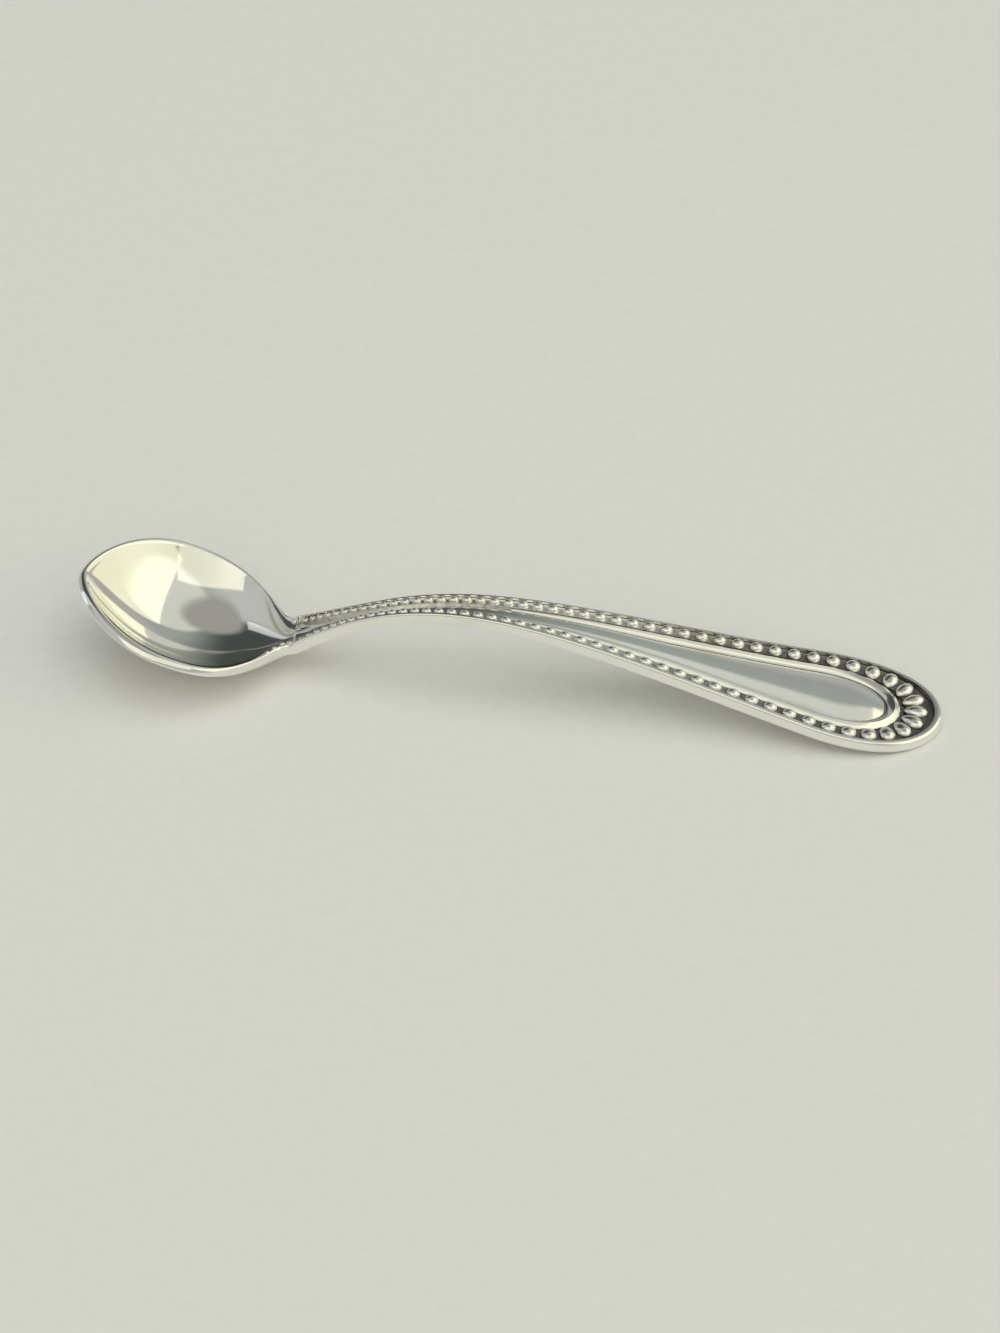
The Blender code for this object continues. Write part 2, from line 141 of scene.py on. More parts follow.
def rim_width(run):
    return RIM_WIDTH + (SHOULDER_SHARE * ROOT_WIDTH / 2 - RIM_WIDTH) * shoulder(run)


def rim_crest(run):
    return RIM_CREST * min(1.0, run / SHOULDER_RUN)


def crest_inset(run):
    return BAND_ROOT + (CREST_INSET - BAND_ROOT) * min(1.0, run / SHOULDER_RUN)


def inner_edge(run):
    """The height of the rim's inner edge, which is sunk on the shoulders."""
    return INNER_EDGE_SHARE * rim_crest(run) - SHOULDER_SINK * shoulder(run)


def hollow_half_width(run):
    outer = bowl_half_width(run * rim_line.length / (rim_line.length - RIM_WIDTH))
    return outer - rim_width(run) * (2 * outer / BOWL_WIDTH if run > BOWL_WIDEST else 1.0)


def keel(run, root, pit, length):
    """A depth that grows from the joint to the pit and ends at the tip."""
    if run < BOWL_PIT:
        return root + (pit - root) * (1 - (1 - run / BOWL_PIT) ** 2)
    return pit * max(0.0, 1 - ((run - BOWL_PIT) / (length - BOWL_PIT)) ** 2)


def back_height(run, across):
    share = across / max(bowl_half_width(run), NOT_ZERO)
    deep = keel(run, NECK_BELLY, BOWL_DEPTH - RIM_EDGE, rim_line.length)
    return -bowl_edge(run) - deep * max(0.0, 1 - share**2)


def hollow_height(run, across):
    share = across / max(hollow_half_width(run), NOT_ZERO)
    pit = BOWL_DEPTH - BOWL_WALL + inner_edge(BOWL_PIT)
    depth = keel(run, FACE_DROP - SHOULDER_SINK, pit, rim_line.length - RIM_WIDTH)
    return inner_edge(run) - depth * max(0.0, 1 - share**2)


def outline_point(turn, start, length, half_width):
    """(run, across) on an outline: turn is 0 at the joint, 1 at the tip and negative on the -y side."""
    away = abs(turn)
    if away < ROOT_TURN:
        return start, half_width(start) * turn / ROOT_TURN
    swing = math.pi * (away - ROOT_TURN) / (1 - ROOT_TURN)
    run = start + (length - start) * (1 - math.cos(swing)) / 2
    return run, math.copysign(half_width(run), turn)


def over_rim(outer, inner, step):
    """(run, across, height) on the rim: step is 0 at the outer edge, 1 on the crest, 2 at the inner edge."""
    run, across = outer
    outer_height = hollow_height(run, across) if run == 0.0 else -RIM_ROUND
    inner_height = hollow_height(*inner)
    crest_share = crest_inset(run) / rim_width(run)
    share = step * crest_share if step < 1 else crest_share + (step - 1) * (1 - crest_share)
    if run == 0.0:
        height = outer_height + share * (inner_height - outer_height)
    elif step < 1:
        height = rim_crest(run) - (rim_crest(run) - outer_height) * (1 - step) ** 2
    else:
        sunk = min(1.0, 2 * shoulder(run))
        fall = (1 - sunk) * (step - 1) ** 2 + sunk * (1 - (2 - step) ** SUNK_POWER)
        height = rim_crest(run) + (inner_height - rim_crest(run)) * fall
    return run + share * (inner[0] - run), across + share * (inner[1] - across), height


def bowl_point(turn, ring):
    """The rings run from the pit's underside, out to the edge, over the rim and down to the pit's inside."""
    outer = outline_point(turn, 0.0, rim_line.length, bowl_half_width)
    if ring < BACK_RINGS:
        run, across = from_pit(ring / BACK_RINGS, outer)
        return rim_line.at(run, across, back_height(run, across))
    run, across = outer
    if ring == BACK_RINGS:
        deep = NECK_BELLY * (1 - (2 * across / ROOT_WIDTH) ** 2) if run == 0.0 else 0.0
        return rim_line.at(run, across, -bowl_edge(run) - deep)
    inner = outline_point(turn, ROOT_SILL, rim_line.length - RIM_WIDTH, hollow_half_width)
    rim_ring = ring - BACK_RINGS - 1
    if rim_ring < len(RIM_STEPS):
        return rim_line.at(*over_rim(outer, inner, RIM_STEPS[rim_ring - 1] if rim_ring else 0.0))
    run, across = from_pit(1 - (rim_ring - len(RIM_STEPS)) / FACE_RINGS, inner)
    return rim_line.at(run, across, hollow_height(run, across))


def from_pit(share, point):
    run, across = point
    return BOWL_PIT + share * (run - BOWL_PIT), share * across


bowl_drop = -min(
    rim_line.at(run, 0.0, back_height(run, 0.0)).z
    for run in np.linspace(0, rim_line.length, KEEL_POINTS)
)
joint = Vector(((BOWL_REACH - HANDLE_LENGTH) / 2, 0.0, bowl_drop - REST_FLAT))


def rest_on_table(bm):
    """Flattens a piece where it lies on the table, as years of use do."""
    geometry = bm.verts[:] + bm.edges[:] + bm.faces[:]
    cut = bmesh.ops.bisect_plane(
        bm, geom=geometry, dist=ON_PLANE, plane_co=-joint.z * Vector((0, 0, 1)),
        plane_no=(0, 0, -1), clear_outer=True,
    )
    edges = [e for e in cut["geom_cut"] if isinstance(e, bmesh.types.BMEdge)]
    bmesh.ops.holes_fill(bm, edges=edges, sides=0)


def put(tree, kind, sockets=None, **settings):
    """Adds a shader node. Each socket is given a value, or another node's output to be linked to."""
    node = tree.nodes.new(kind)
    for name, value in settings.items():
        setattr(node, name, value)
    for name, value in (sockets or {}).items():
        if isinstance(value, bpy.types.NodeSocket):
            tree.links.new(value, node.inputs[name])
        else:
            node.inputs[name].default_value = value
    return node


def new_group(name, inputs, outputs):
    tree = bpy.data.node_groups.new(name, "ShaderNodeTree")
    for label, kind, value in inputs:
        socket = tree.interface.new_socket(label, in_out="INPUT", socket_type=kind)
        if value is not None:
            socket.default_value = value
    for label, kind in outputs:
        tree.interface.new_socket(label, in_out="OUTPUT", socket_type=kind)
    return tree, tree.nodes.new("NodeGroupInput").outputs, tree.nodes.new("NodeGroupOutput").inputs


# Hairlines and cloudy haze that cloths and salt leave on much-polished silver
polish_marks, given, out = new_group(
    "polish_marks",
    [
        ("Vector", "NodeSocketVector", None),
        ("Roughness", "NodeSocketFloat", 0.08),
        ("Haze", "NodeSocketFloat", 0.05),
        ("Waviness", "NodeSocketFloat", 1.0),
    ],
    [("Roughness", "NodeSocketFloat"), ("Height", "NodeSocketFloat")],
)
stretched = put(polish_marks, "ShaderNodeMapping", {"Vector": given["Vector"], "Scale": (420, 5200, 5200)})
hairline = put(
    polish_marks, "ShaderNodeTexNoise", {"Vector": stretched.outputs[0], "Scale": 1.0, "Detail": 3.0},
)
cloud = put(polish_marks, "ShaderNodeTexNoise", {"Vector": given["Vector"], "Scale": 330.0, "Detail": 4.0})
wave = put(polish_marks, "ShaderNodeTexNoise", {"Vector": given["Vector"], "Scale": 170.0, "Detail": 1.0})
hairline_part = put(
    polish_marks, "ShaderNodeMapRange",
    {"Value": hairline.outputs["Fac"], "From Min": 0.55, "From Max": 0.75, "To Min": 0.0, "To Max": 0.035},
)
haze_part = put(
    polish_marks, "ShaderNodeMath",
    {0: cloud.outputs["Fac"], 1: given["Haze"]}, operation="MULTIPLY",
)
both_parts = put(
    polish_marks, "ShaderNodeMath", {0: hairline_part.outputs[0], 1: haze_part.outputs[0]}, operation="ADD",
)
roughness = put(
    polish_marks, "ShaderNodeMath", {0: both_parts.outputs[0], 1: given["Roughness"]}, operation="ADD",
)
height = put(
    polish_marks, "ShaderNodeMath", {0: wave.outputs["Fac"], 1: given["Waviness"]}, operation="MULTIPLY",
)
polish_marks.links.new(roughness.outputs[0], out["Roughness"])
polish_marks.links.new(height.outputs[0], out["Height"])

# Black sulphide that stays in the recesses, where no cloth reaches, with a faint warm bloom over the rest
tarnish, given, out = new_group(
    "tarnish",
    [
        ("Vector", "NodeSocketVector", None),
        ("Recess", "NodeSocketFloat", 0.0),
        ("Clean", "NodeSocketColor", (0.93, 0.92, 0.88, 1)),
        ("Bloom", "NodeSocketColor", (0.86, 0.83, 0.74, 1)),
        ("Black", "NodeSocketColor", (0.24, 0.22, 0.21, 1)),
        ("Reach", "NodeSocketFloat", 0.5),
    ],
    [("Color", "NodeSocketColor"), ("Black", "NodeSocketFloat")],
)
patch = put(tarnish, "ShaderNodeTexNoise", {"Vector": given["Vector"], "Scale": 240.0, "Detail": 3.0})
patch_mask = put(
    tarnish, "ShaderNodeMapRange",
    {"Value": patch.outputs["Fac"], "From Min": 0.48, "From Max": 0.72, "To Min": 0.0, "To Max": 0.6},
)
speck = put(tarnish, "ShaderNodeTexNoise", {"Vector": given["Vector"], "Scale": 2600.0, "Detail": 2.0})
ragged = put(
    tarnish, "ShaderNodeMath",
    {0: speck.outputs["Fac"], 1: 0.3, 2: given["Recess"]}, operation="MULTIPLY_ADD",
)
reach_low = put(tarnish, "ShaderNodeMath", {0: 1.15, 1: given["Reach"]}, operation="SUBTRACT")
reach_high = put(tarnish, "ShaderNodeMath", {0: reach_low.outputs[0], 1: 0.3}, operation="ADD")
black_mask = put(
    tarnish, "ShaderNodeMapRange",
    {"Value": ragged.outputs[0], "From Min": reach_low.outputs[0], "From Max": reach_high.outputs[0]},
    interpolation_type="SMOOTHSTEP",
)
bloom_mix = put(tarnish, "ShaderNodeMixRGB", {0: patch_mask.outputs[0], 1: given["Clean"], 2: given["Bloom"]})
black_mix = put(
    tarnish, "ShaderNodeMixRGB", {0: black_mask.outputs[0], 1: bloom_mix.outputs[0], 2: given["Black"]},
)
tarnish.links.new(black_mix.outputs[0], out["Color"])
tarnish.links.new(black_mask.outputs[0], out["Black"])


def silver(name, clean, roughness, haze, waviness, reach):
    """Polished silver that reads how deep each point lies from the piece's recess attribute."""
    material = bpy.data.materials.new(name)
    material.use_nodes = True
    tree = material.node_tree
    shader = tree.nodes["Principled BSDF"]
    shader.inputs["Metallic"].default_value = 1.0
    place = put(tree, "ShaderNodeTexCoord").outputs["Object"]
    recess = put(tree, "ShaderNodeAttribute", attribute_name="recess").outputs["Fac"]
    marks = put(tree, "ShaderNodeGroup", node_tree=polish_marks)
    stain = put(tree, "ShaderNodeGroup", node_tree=tarnish)
    for group in (marks, stain):
        tree.links.new(place, group.inputs["Vector"])
    marks.inputs["Roughness"].default_value = roughness
    marks.inputs["Haze"].default_value = haze
    marks.inputs["Waviness"].default_value = waviness
    tree.links.new(recess, stain.inputs["Recess"])
    stain.inputs["Clean"].default_value = (*clean, 1)
    stain.inputs["Reach"].default_value = reach
    dull = put(
        tree, "ShaderNodeMath", {0: recess, 1: 0.3, 2: marks.outputs["Roughness"]}, operation="MULTIPLY_ADD",
    )
    bump = put(
        tree, "ShaderNodeBump",
        {"Height": marks.outputs["Height"], "Strength": 0.35, "Distance": 0.05 * MM},
    )
    tree.links.new(stain.outputs["Color"], shader.inputs["Base Color"])
    tree.links.new(dull.outputs[0], shader.inputs["Roughness"])
    tree.links.new(bump.outputs["Normal"], shader.inputs["Normal"])
    return material


def blank_mesh():
    """An empty mesh, and the layer that keeps how deep each of its points lies, for the tarnish."""
    bm = bmesh.new()
    return bm, bm.verts.layers.float.new("recess")


def finish_piece(name, bm, material):
    """Makes the piece, which was shaped around the solder joint, at its place."""
    bmesh.ops.recalc_face_normals(bm, faces=bm.faces)
    bmesh.ops.translate(bm, verts=bm.verts, vec=joint)
    mesh = bpy.data.meshes.new(name)
    bm.to_mesh(mesh)
    bm.free()
    mesh.shade_smooth()
    mesh.set_sharp_from_angle(angle=SHARP_EDGE)
    mesh.materials.append(material)
    piece = bpy.data.objects.new(name, mesh)
    bpy.context.scene.collection.objects.link(piece)
    shading = piece.modifiers.new("even_shading", "WEIGHTED_NORMAL")
    shading.keep_sharp = True
    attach(piece, "root")
    return piece


rings = BACK_RINGS + 1 + len(RIM_STEPS) + FACE_RINGS
crest_ring = BACK_RINGS + 2 + RIM_STEPS.index(1.0)
bm, depth = blank_mesh()
bmesh.ops.create_uvsphere(bm, u_segments=BOWL_SEGMENTS, v_segments=rings, radius=1.0)
for vert in bm.verts:
    ring = round(rings * (1 - math.acos(max(-1.0, min(1.0, vert.co.z))) / math.pi))
    vert.co = bowl_point(math.atan2(vert.co.y, vert.co.x) / math.pi, ring)
    vert[depth] = SHOULDER_TARNISH * shoulder(max(0.0, -vert.co.x)) if ring > crest_ring else 0.0
rest_on_table(bm)
bowl_polish = silver(
    "bowl_polish", clean=(0.95, 0.94, 0.9), roughness=0.05, haze=0.05, waviness=1.0, reach=0.4,
)
bowl = finish_piece("silver_bowl", bm, bowl_polish)
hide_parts("bowl")


# Handle plate
# The stem is one plate forged to an arch: thick and narrow behind the bowl, thin and wide at its end.
# Its face is sunk for the border, and a domed panel stands in the middle of the wide part.

NECK_WIDTH = 2.02 * MM
NECK_REACH = 6.5 * MM
END_WIDTH = 8.6 * MM
END_ROUND = 10.0 * MM
TAPER_POWER = 1.46
ROOT_PULL = 5.0 * MM
CROWN_REACH = 13.5 * MM
CROWN_HEIGHT = 7.3 * MM
CROWN_PULL_BACK = 5.5 * MM
CROWN_PULL_AHEAD = 9.7 * MM
TIP_PULL = 9.4 * MM
PANEL_RISE = 0.36 * MM
PANEL_END_FALL = 2.4 * MM
PANEL_UNDER_THREAD = 0.1 * MM
# How far up from the groove under the border the panel's edge is darkened
PANEL_GROOVE_DARKENING = 0.22 * MM
BAND_SIDE = 0.36 * MM
BAND_END = 0.6 * MM
BEAD_ROOT_WIDTH = 0.42 * MM
BEAD_SIDE_WIDTH = 0.95 * MM
BEAD_END_WIDTH = 1.9 * MM
GROOVE_END = 0.35 * MM
THREAD_WIDTH = 0.75 * MM
THREAD_END_WIDTH = 1.4 * MM
THREAD_TAIL_WIDTH = 0.22 * MM
THREAD_TAIL_RUN = 12.0 * MM
THREAD_START = 17.0 * MM
SOLDER_GAP = 0.05 * MM
SOLDER_RUN = 2.0 * MM
ROUND_SHARE = 0.3
NECK_TARNISH = 0.45
PLATE_GAP_SHARE = 0.4
LEAST_PANEL_SHARE = 0.15
PLATE_ROWS, PLATE_COLUMNS, PANEL_COLUMNS = 300, 56, 0.75

crown = Vector((CROWN_REACH, 0.0, CROWN_HEIGHT - joint.z))
handle_end = Vector((HANDLE_LENGTH, 0.0, BAND_HEIGHT - REST_FLAT - joint.z))
ahead = Vector((1.0, 0.0, 0.0))
top_line = SideLine(
    (Vector(), ROOT_PULL * leave, crown - CROWN_PULL_BACK * ahead, crown),
    (crown, crown + CROWN_PULL_AHEAD * ahead, handle_end - TIP_PULL * ahead, handle_end),
)
handle_run = top_line.length
end_start = handle_run - END_ROUND


def taper(run):
    """Half the handle's width before its end is rounded."""
    if run < NECK_REACH:
        return (NECK_WIDTH + (ROOT_WIDTH - NECK_WIDTH) * (1 - run / NECK_REACH) ** 2) / 2
    share = (run - NECK_REACH) / (end_start - NECK_REACH)
    return (NECK_WIDTH + (END_WIDTH - NECK_WIDTH) * share**TAPER_POWER) / 2


def border_point(turn, side_inset, end_inset, start=0.0):
    """A point of a line around the handle: turn is 0 at the handle's end and -1 or 1 at the bowl."""
    away = abs(turn)
    if away < ROUND_SHARE:
        swing = math.pi / 2 * away / ROUND_SHARE
        run = end_start + (END_ROUND - end_inset) * math.cos(swing)
        width = math.sin(swing)
    else:
        run = end_start + (start - end_start) * (away - ROUND_SHARE) / (1 - ROUND_SHARE)
        width = 1.0
    return run, math.copysign(max(0.0, taper(run) - side_inset(run)) * width, turn)


def along_side(root, side, run):
    return root + (side - root) * min(1.0, run / end_start)


def band_thickness(run):
    return along_side(BAND_ROOT, BAND_SIDE, run)


def bead_width(run):
    return along_side(BEAD_ROOT_WIDTH, BEAD_SIDE_WIDTH, run)


def thread_width(run):
    share = min(1.0, max(0.0, run - THREAD_START) / THREAD_TAIL_RUN)
    return THREAD_TAIL_WIDTH + (THREAD_WIDTH - THREAD_TAIL_WIDTH) * share


def bead_inset(run):
    return band_thickness(run) + SOLDER_GAP + bead_width(run) / 2


def thread_inset(run):
    return bead_inset(run) + bead_width(run) / 2 + SOLDER_GAP + thread_width(run) / 2


BEAD_END_INSET = BAND_END + GROOVE_END + BEAD_END_WIDTH / 2
THREAD_END_INSET = BEAD_END_INSET + BEAD_END_WIDTH / 2 + SOLDER_GAP + THREAD_END_WIDTH / 2
PANEL_END_INSET = THREAD_END_INSET + THREAD_END_WIDTH / 2


def panel_half_width(run):
    half_width = taper(run) - thread_inset(run) - thread_width(run) / 2 + PANEL_UNDER_THREAD
    if run > end_start:
        share = (run - end_start) / (END_ROUND - PANEL_END_INSET + PANEL_UNDER_THREAD)
        half_width *= max(0.0, 1 - share**2) ** 0.5
    return max(0.0, half_width)


def column_across(run, share, edge):
    """Most columns of the plate gather on the panel, so that its edge is clean."""
    panel = max(panel_half_width(run), LEAST_PANEL_SHARE * edge)
    if abs(share) < PANEL_COLUMNS:
        return panel * share / PANEL_COLUMNS
    beyond = (abs(share) - PANEL_COLUMNS) / (1 - PANEL_COLUMNS)
    return math.copysign(panel + beyond * (edge - panel), share)


def panel_height(run, across):
    half_width = panel_half_width(run)
    if abs(across) >= half_width:
        return 0.0
    rise = PANEL_RISE * panel_half_width(min(run, end_start)) / panel_half_width(end_start)
    fall = max(0.0, 1 - (handle_run - PANEL_END_INSET + PANEL_UNDER_THREAD - run) / PANEL_END_FALL)
    return rise * (1 - fall**2) * (1 - (across / half_width) ** 2)


def tarnished(run):
    """How much tarnish is left: the neck, which the fingers hold, is worn clean."""
    return along_side(NECK_TARNISH, 1.0, run)


def panel_depth(run, across):
    """Darkens the panel's edge: greatest in the groove under the border, falling to 0 a little way up the
    panel.
    """
    panel_tip = handle_run - PANEL_END_INSET + PANEL_UNDER_THREAD
    inside = min(panel_half_width(run) - abs(across), panel_tip - run)
    return tarnished(run) * max(0.0, min(1.0, 1 - (inside - PANEL_UNDER_THREAD) / PANEL_GROOVE_DARKENING))


bm, depth = blank_mesh()
bmesh.ops.create_grid(bm, x_segments=PLATE_ROWS, y_segments=PLATE_COLUMNS, size=0.5)
face_verts = set(bm.verts)
bmesh.ops.extrude_face_region(bm, geom=bm.faces[:])
for vert in bm.verts:
    turn, share = 0.5 - vert.co.x, 2 * vert.co.y
    run, edge = border_point(turn, lambda r: band_thickness(r) - PLATE_GAP_SHARE * SOLDER_GAP, BAND_END)
    across = column_across(run, share, edge)
    if vert in face_verts:
        solder = (hollow_height(0.0, across) + FACE_DROP) * max(0.0, 1 - run / SOLDER_RUN) ** 2
        lift = -FACE_DROP + solder + panel_height(run, across)
        vert[depth] = panel_depth(run, across)
    else:
        belly = NECK_BELLY * (1 - run / handle_run)
        lift = -BAND_HEIGHT - belly * (1 - (across / max(edge, NOT_ZERO)) ** 2)
    vert.co = top_line.at(run, across, lift)
rest_on_table(bm)
bmesh.ops.remove_doubles(bm, verts=bm.verts, dist=SAME_POINT)
handle_polish = silver(
    "handle_polish", clean=(0.94, 0.94, 0.9), roughness=0.07, haze=0.08, waviness=1.0, reach=0.5,
)
handle = finish_piece("handle_plate", bm, handle_polish)
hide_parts("handle")


# Edge band
# A silver strip stands on edge around the plate, from one side of the bowl round to the other.
# Its outside is rounded at the top, and handling keeps it bright.

BAND_ROUND = 0.42 * MM
BAND_CREST = 0.65
BAND_FOOT = 1.2
SQUARE_PUSH = 1.42
INNER_WALL = 0.98
BAND_ROWS, BAND_SIDES = 420, 32


def long_bar(rows, sides):
    """A bar of unit length along z, cut into rows, that is then bent and shaped."""
    bm, depth = blank_mesh()
    bmesh.ops.create_cone(bm, cap_ends=True, segments=sides, radius1=1.0, radius2=1.0, depth=1.0)
    long_edges = [e for e in bm.edges if abs(e.verts[0].co.z - e.verts[1].co.z) > 0.5]
    bmesh.ops.subdivide_edges(bm, edges=long_edges, cuts=rows - 1)
    return bm, depth


def square(value, push=SQUARE_PUSH):
    """Pushes the sides of a round section out to those of a square one."""
    return max(-1.0, min(1.0, push * value))


def band_section(x, y):
    """(inset as a share of the thickness, height): round above and outside, square below and inside."""
    if x >= 0 and y >= 0:
        return BAND_CREST * (1 - x), BAND_ROUND * (y - 1)
    if y < 0:
        push = BAND_FOOT if x > 0 else SQUARE_PUSH
        return (1 - square(x, push)) / 2, -BAND_ROUND + (BAND_HEIGHT - BAND_ROUND) * square(y, push)
    return BAND_CREST - (1 - BAND_CREST) * square(x), BAND_ROUND * (square(y) - 1)


bm, depth = long_bar(BAND_ROWS, BAND_SIDES)
for vert in bm.verts:
    inset, lift = band_section(vert.co.x, vert.co.y)
    run, across = border_point(2 * vert.co.z, lambda r: inset * band_thickness(r), inset * BAND_END)
    vert[depth] = tarnished(run) * min(1.0, -lift / FACE_DROP) if inset > INNER_WALL else 0.0
    vert.co = top_line.at(run, across, lift)
rest_on_table(bm)
band_polish = silver(
    "edge_band_polish", clean=(0.96, 0.95, 0.91), roughness=0.1, haze=0.06, waviness=0.6, reach=0.4,
)
band = finish_piece("bright_edge_band", bm, band_polish)
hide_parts("edge_band")


# Bead strip
# A thin strip carries the row of beads, which grow from the bowl to the handle's end.
# It is soldered into the sunk face inside the band, and only the bead tops are ever polished.

PITCH_END = 1.15 * MM
PITCH_END_RUN = 5.0 * MM
PITCH_SIDE = 1.6 * MM
PITCH_ROOT = 0.62 * MM
PITCH_POWER = 1.5
BEAD_RISE = 0.5 * MM
STRIP_WEB = 0.07 * MM
NECK_PERCH = 0.14 * MM
NECK_SWELL = 2.5 * MM
ROOT_TARNISH = 0.45
ROOT_TARNISH_RUN = 9.0 * MM
STRIP_ROWS, STRIP_SIDES = 420, 8
BEAD_SEGMENTS, BEAD_RINGS = 24, 14
BORDER_POINTS = 900
BEAD_FILL_ROOT, BEAD_FILL_SIDE, BEAD_FILL_END = 0.8, 0.74, 0.95
BEAD_HEAD = 0.25
BEAD_UNDERSIDE = 0.1
PETAL_STRETCH, PETAL_SHIFT = 1.2, -0.1 * MM
SHOULDER_BEADS = ((0.35, 0.22), (0.85, 0.21), (1.35, 0.19), (1.8, 0.16))
SHOULDER_BEAD_RISE = 1.2
NEAR_SHOULDER_COUNT, FAR_SHOULDER_COUNT = 4, 1


class BorderLine:
    """A line around the handle, measured along its own length from the handle's end."""

    def __init__(self, side_inset, end_inset, start=0.0):
        turns = np.linspace(0, 1, BORDER_POINTS)
        self.points = np.array([border_point(t, side_inset, end_inset, start) for t in turns])
        steps = np.hypot(*np.diff(self.points, axis=0).T)
        self.ways = np.concatenate([[0.0], np.cumsum(steps)])
        self.ahead = np.gradient(self.points, self.ways, axis=0)
        self.length = self.ways[-1]

    def at(self, way, offset):
        """(run, across) at a signed way from the end, moved outwards by offset."""
        run, across = (np.interp(abs(way), self.ways, self.points[:, i]) for i in (0, 1))
        run_ahead, across_ahead = (np.interp(abs(way), self.ways, self.ahead[:, i]) for i in (0, 1))
        length = math.hypot(run_ahead, across_ahead)
        run += offset * across_ahead / length
        across -= offset * run_ahead / length
        return max(0.0, run), math.copysign(max(0.0, across), way) if way else across

    def run(self, way):
        return float(np.interp(abs(way), self.ways, self.points[:, 0]))


def strip_top(run):
    """The strip's height above the sunk face: flush with the bowl at the joint, greatest at the neck."""
    swell = min(1.0, run / NECK_SWELL)
    return SOLDER_GAP + STRIP_WEB + swell * along_side(NECK_PERCH, 0.0, run)


def bead_tarnish(run):
    """Close to the bowl, where no finger rubs, the tarnish around the beads is left again."""
    return tarnished(run) + ROOT_TARNISH * max(0.0, 1 - run / ROOT_TARNISH_RUN)


def end_blend(run, side, end):
    share = max(0.0, run - end_start) / END_ROUND
    return side + (end - side) * share**2


bead_line = BorderLine(bead_inset, BEAD_END_INSET, SOLDER_GAP)
bead_bounds = []
way = PITCH_END / 2
while way < bead_line.length - SOLDER_GAP:
    bead_bounds.append(way)
    closer_at_end = (PITCH_SIDE - PITCH_END) * max(0.0, 1 - way / PITCH_END_RUN)
    closer_at_root = (PITCH_SIDE - PITCH_ROOT) * (way / (bead_line.length - SOLDER_GAP)) ** PITCH_POWER
    way += PITCH_SIDE - closer_at_end - closer_at_root
bead_bounds = [-way for way in reversed(bead_bounds)] + bead_bounds

bm, depth = long_bar(STRIP_ROWS, STRIP_SIDES)
for vert in bm.verts:
    way = 2 * bead_bounds[-1] * vert.co.z
    run = bead_line.run(way)
    half = end_blend(run, bead_width(run), BEAD_END_WIDTH) / 2
    lift = -FACE_DROP + strip_top(run) * square(vert.co.y)
    vert.co = top_line.at(*bead_line.at(way, square(vert.co.x) * half), lift)
    vert[depth] = bead_tarnish(run)


def add_bead(place, tarnish_left):
    """Adds a dome to the border. place gives the point for (along, across, up) of a unit ball."""
    ball = bmesh.ops.create_uvsphere(bm, u_segments=BEAD_SEGMENTS, v_segments=BEAD_RINGS, radius=1.0)
    for vert in ball["verts"]:
        along, across, up = vert.co
        vert[depth] = tarnish_left * (1 - max(0.0, up))
        vert.co = place(along, across, up if up > 0 else BEAD_UNDERSIDE * up)


for start, stop in zip(bead_bounds, bead_bounds[1:]):
    middle = (start + stop) / 2
    run = bead_line.run(middle)
    half = end_blend(run, bead_width(run), BEAD_END_WIDTH) / 2
    end_share = max(0.0, run - end_start) / END_ROUND
    fill = along_side(BEAD_FILL_ROOT, BEAD_FILL_SIDE, run)
    fill += (BEAD_FILL_END - fill) * end_share
    reach = fill * (stop - start) / 2
    head = BEAD_HEAD * end_share
    rise = BEAD_RISE * bead_width(run) / BEAD_SIDE_WIDTH
    half *= 1 + (PETAL_STRETCH - 1) * end_share
    shift = PETAL_SHIFT * end_share
    add_bead(lambda along, across, up: top_line.at(
        *bead_line.at(middle + along * reach, shift + across * half),
        -FACE_DROP + strip_top(run) + rise * up * (1 + head * across),
    ), bead_tarnish(run))
# Wear has left only the first bead on the bowl's far shoulder
for side, count in ((-1, NEAR_SHOULDER_COUNT), (1, FAR_SHOULDER_COUNT)):
    for run, radius in SHOULDER_BEADS[:count]:
        run, radius = run * MM, radius * MM
        across = side * (bowl_half_width(run) - crest_inset(run) - radius)
        base = inner_edge(run)
        add_bead(lambda along, over, up: rim_line.at(
            run + along * radius, across + over * radius, base + SHOULDER_BEAD_RISE * radius * up,
        ), bead_tarnish(0.0))
bead_polish = silver(
    "bead_polish", clean=(0.95, 0.94, 0.9), roughness=0.08, haze=0.06, waviness=0.3, reach=0.3,
)
beads = finish_piece("bead_border", bm, bead_polish)
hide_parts("bead_strip")


# Thread
# A half-round silver wire lies between the beads and the panel and fades out towards the neck.
# It is soldered to the sunk face, and wear has left its top bright and its sides nearly flat.

THREAD_RISE = 0.36 * MM
THREAD_RIDGE = 0.6
THREAD_ROWS, THREAD_SIDES = 360, 32
LEVEL = 1e-6

thread_line = BorderLine(thread_inset, THREAD_END_INSET, THREAD_START)
bm, depth = long_bar(THREAD_ROWS, THREAD_SIDES)
for vert in bm.verts:
    way = 2 * vert.co.z * thread_line.length
    run = thread_line.run(way)
    half = end_blend(run, thread_width(run), THREAD_END_WIDTH) / 2
    rise = max(0.0, vert.co.y)
    ridge = max(0.0, 1 - abs(vert.co.x)) if rise else 0.0
    worn = rise + THREAD_RIDGE * (ridge - rise)
    lift = -FACE_DROP + THREAD_RISE * worn * thread_width(run) / THREAD_WIDTH
    lift += SOLDER_GAP if vert.co.y >= -LEVEL else SOLDER_GAP * vert.co.y
    vert[depth] = 1 - rise
    vert.co = top_line.at(*thread_line.at(way, vert.co.x * half), lift)
thread_polish = silver(
    "thread_polish", clean=(0.96, 0.95, 0.91), roughness=0.08, haze=0.06, waviness=0.3, reach=0.15,
)
thread = finish_piece("thread_wire", bm, thread_polish)
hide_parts("thread")


# Table
# A plain pale table top carries the spoon.
# Its matt paint has a fine grain.

TABLE_HALF_SIZE = 1.5

